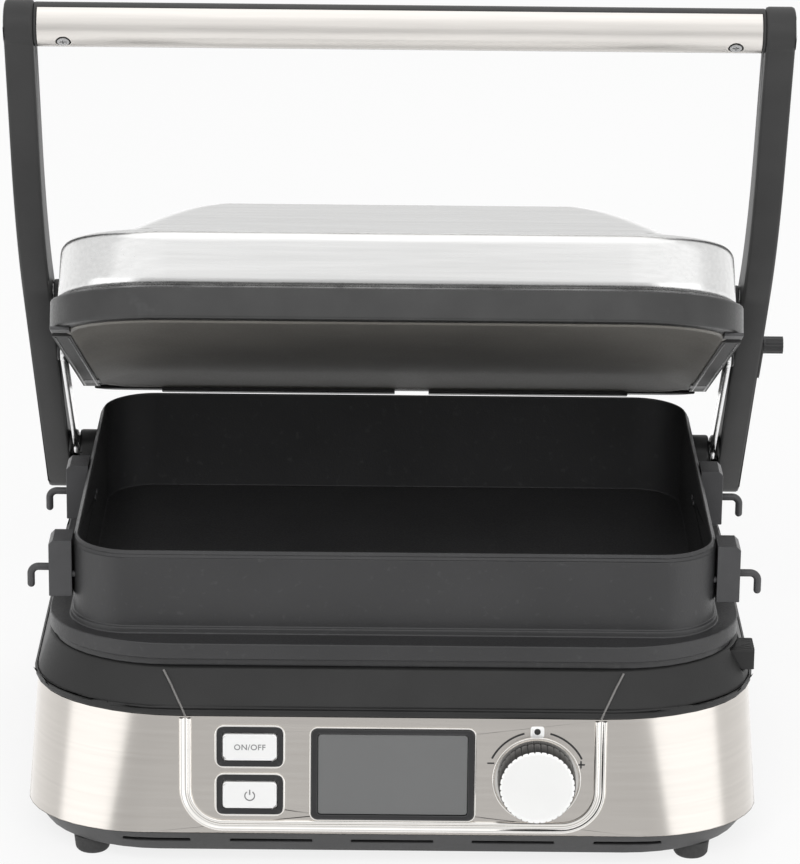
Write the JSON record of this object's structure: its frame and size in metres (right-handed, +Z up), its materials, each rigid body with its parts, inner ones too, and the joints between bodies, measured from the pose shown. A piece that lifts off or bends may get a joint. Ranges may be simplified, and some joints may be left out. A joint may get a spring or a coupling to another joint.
{
  "type": "electric indoor grill with lid",
  "caption": "Countertop electric grill with a deep bake pan and a floating steel lid on two swinging arms joined by a bar handle.",
  "frame": {"origin": "on the table under the middle of the base's plan outline, not counting the dial, the arms and the adjuster knob", "axes": "+X to the right of someone facing the controls, +Y to the back, +Z up"},
  "size_m": [0.384, 0.3534, 0.3986],
  "materials": {
    "dark_plastic": "fine satin moulding",
    "rubber": "matt",
    "steel_screw": "plain zinc plated steel",
    "brushed_steel": "brushed stainless steel, grain across the width",
    "black_plastic": "satin black moulding",
    "bright_trim": "bright edge",
    "gloss_black": "gloss",
    "window_glass": "clear window over a grey display",
    "display_grey": "grey liquid crystal panel",
    "circuit_board": "green board",
    "bare_aluminium": "bright pressed sheet",
    "heater_tube": "heat-darkened tube",
    "pin_steel": "ground steel",
    "silver_key": "satin silver lacquer",
    "dial_metal": "spun and polished",
    "coated_tray": "black coating",
    "nonstick_black": "black non-stick coating, satin",
    "black_metal": "black",
    "band_grey": "dark grey satin",
    "plate_grey": "smooth grey-brown non-stick coating",
    "bright_steel": "bright polished bar"
  },
  "bodies": {
    "base": {"bottom_shell": "dark_plastic", "feet": "rubber", "foot_screws": "steel_screw", "steel_wrap": "brushed_steel", "upper_housing": "black_plastic", "control_bead": "bright_trim", "key_frames": "black_plastic", "display_bezel": "gloss_black", "display_window": "window_glass", "display_module": "display_grey", "dial_collar": "dark_plastic", "encoder_body": "dark_plastic", "control_board": "circuit_board", "key_switches": "black_plastic", "power_board": "circuit_board", "lower_reflector": "bare_aluminium", "lower_element": "heater_tube", "lower_thermostat": "bare_aluminium", "left_hinge_tower": "black_plastic", "right_hinge_tower": "black_plastic", "hinge_pins": "pin_steel", "link_pins": "pin_steel", "cord_gland": "rubber", "tray_rails": "dark_plastic"},
    "upper_key_body": {"upper_key": "silver_key"},
    "power_key_body": {"power_key": "silver_key"},
    "dial": {"dial_knob": "dial_metal", "dial_shaft": "pin_steel"},
    "release": {"release_button": "black_plastic", "release_latch": "pin_steel"},
    "tray": {"drip_tray": "coated_tray", "tray_handle": "black_plastic"},
    "pan": {"bake_pan": "nonstick_black", "pan_brackets": "nonstick_black", "pan_hooks": "nonstick_black", "pan_rivets": "steel_screw"},
    "lid_arms": {"left_arm": "black_plastic", "right_arm": "black_plastic", "handle_core": "black_plastic", "handle_sleeve": "brushed_steel", "handle_screws": "steel_screw", "lid_pivot_pins": "pin_steel"},
    "height_adjuster": {"adjuster_knob": "black_plastic", "adjuster_plate": "dark_plastic"},
    "lid": {"lid_cover": "brushed_steel", "lid_band": "band_grey", "upper_plate": "plate_grey", "upper_reflector": "bare_aluminium", "upper_element": "heater_tube", "upper_thermostat": "bare_aluminium", "rear_rail": "black_plastic", "plate_clips": "pin_steel", "lid_bosses": "band_grey", "link_studs": "black_metal"},
    "left_link_bar": {"left_link": "bright_steel"},
    "right_link_bar": {"right_link": "bright_steel"}
  },
  "joints": [
    {"name": "arm_swing", "type": "hinge", "parent": "base", "child": "lid_arms", "pos_m": [0, 0.141, 0.101], "axis": [-1, 0, 0], "range_deg": [-19.06, 20]},
    {"name": "lid_tilt", "type": "hinge", "parent": "lid_arms", "child": "lid", "pos_m": [0, 0.01756, 0.23337], "axis": [-1, 0, 0], "range_deg": [-4.75, 4.99]},
    {"name": "left_link_swing", "type": "hinge", "parent": "lid", "child": "left_link_bar", "pos_m": [-0.168, 0.02049, 0.20038], "axis": [-1, 0, 0], "range_deg": [-1.12, 1.18]},
    {"name": "right_link_swing", "type": "hinge", "parent": "lid", "child": "right_link_bar", "pos_m": [0.168, 0.02049, 0.20038], "axis": [-1, 0, 0], "range_deg": [-1.12, 1.18]},
    {"name": "adjuster_slide", "type": "slide", "parent": "lid_arms", "child": "height_adjuster", "axis": [0, -0.682, 0.7314], "range_m": [-0.012, 0.012]},
    {"name": "dial_turn", "type": "hinge", "parent": "base", "child": "dial", "pos_m": [0.068, -0.16707, 0.048], "axis": [0, -0.9976, 0.0688], "continuous": true},
    {"name": "upper_key_press", "type": "slide", "parent": "base", "child": "upper_key_body", "axis": [0, 0.9976, -0.0688], "range_m": [0, 0.0012], "stiffness_N_per_m": 400},
    {"name": "power_key_press", "type": "slide", "parent": "base", "child": "power_key_body", "axis": [0, 0.9976, -0.0688], "range_m": [0, 0.0012], "stiffness_N_per_m": 400},
    {"name": "release_press", "type": "slide", "parent": "base", "child": "release", "axis": [-1, 0, 0], "range_m": [0, 0.003], "stiffness_N_per_m": 400},
    {"name": "pan_lift", "type": "slide", "parent": "base", "child": "pan", "axis": [0, -0.9397, 0.342], "range_m": [0, 0.32]},
    {"name": "tray_pull", "type": "slide", "parent": "base", "child": "tray", "axis": [0, 1, 0], "range_m": [0, 0.11]}
  ],
  "couplings": [
    {"joint": "lid_tilt", "follows": "arm_swing", "ratio": 0.2485},
    {"joint": "left_link_swing", "follows": "arm_swing", "ratio": 0.058},
    {"joint": "right_link_swing", "follows": "arm_swing", "ratio": 0.058}
  ]
}
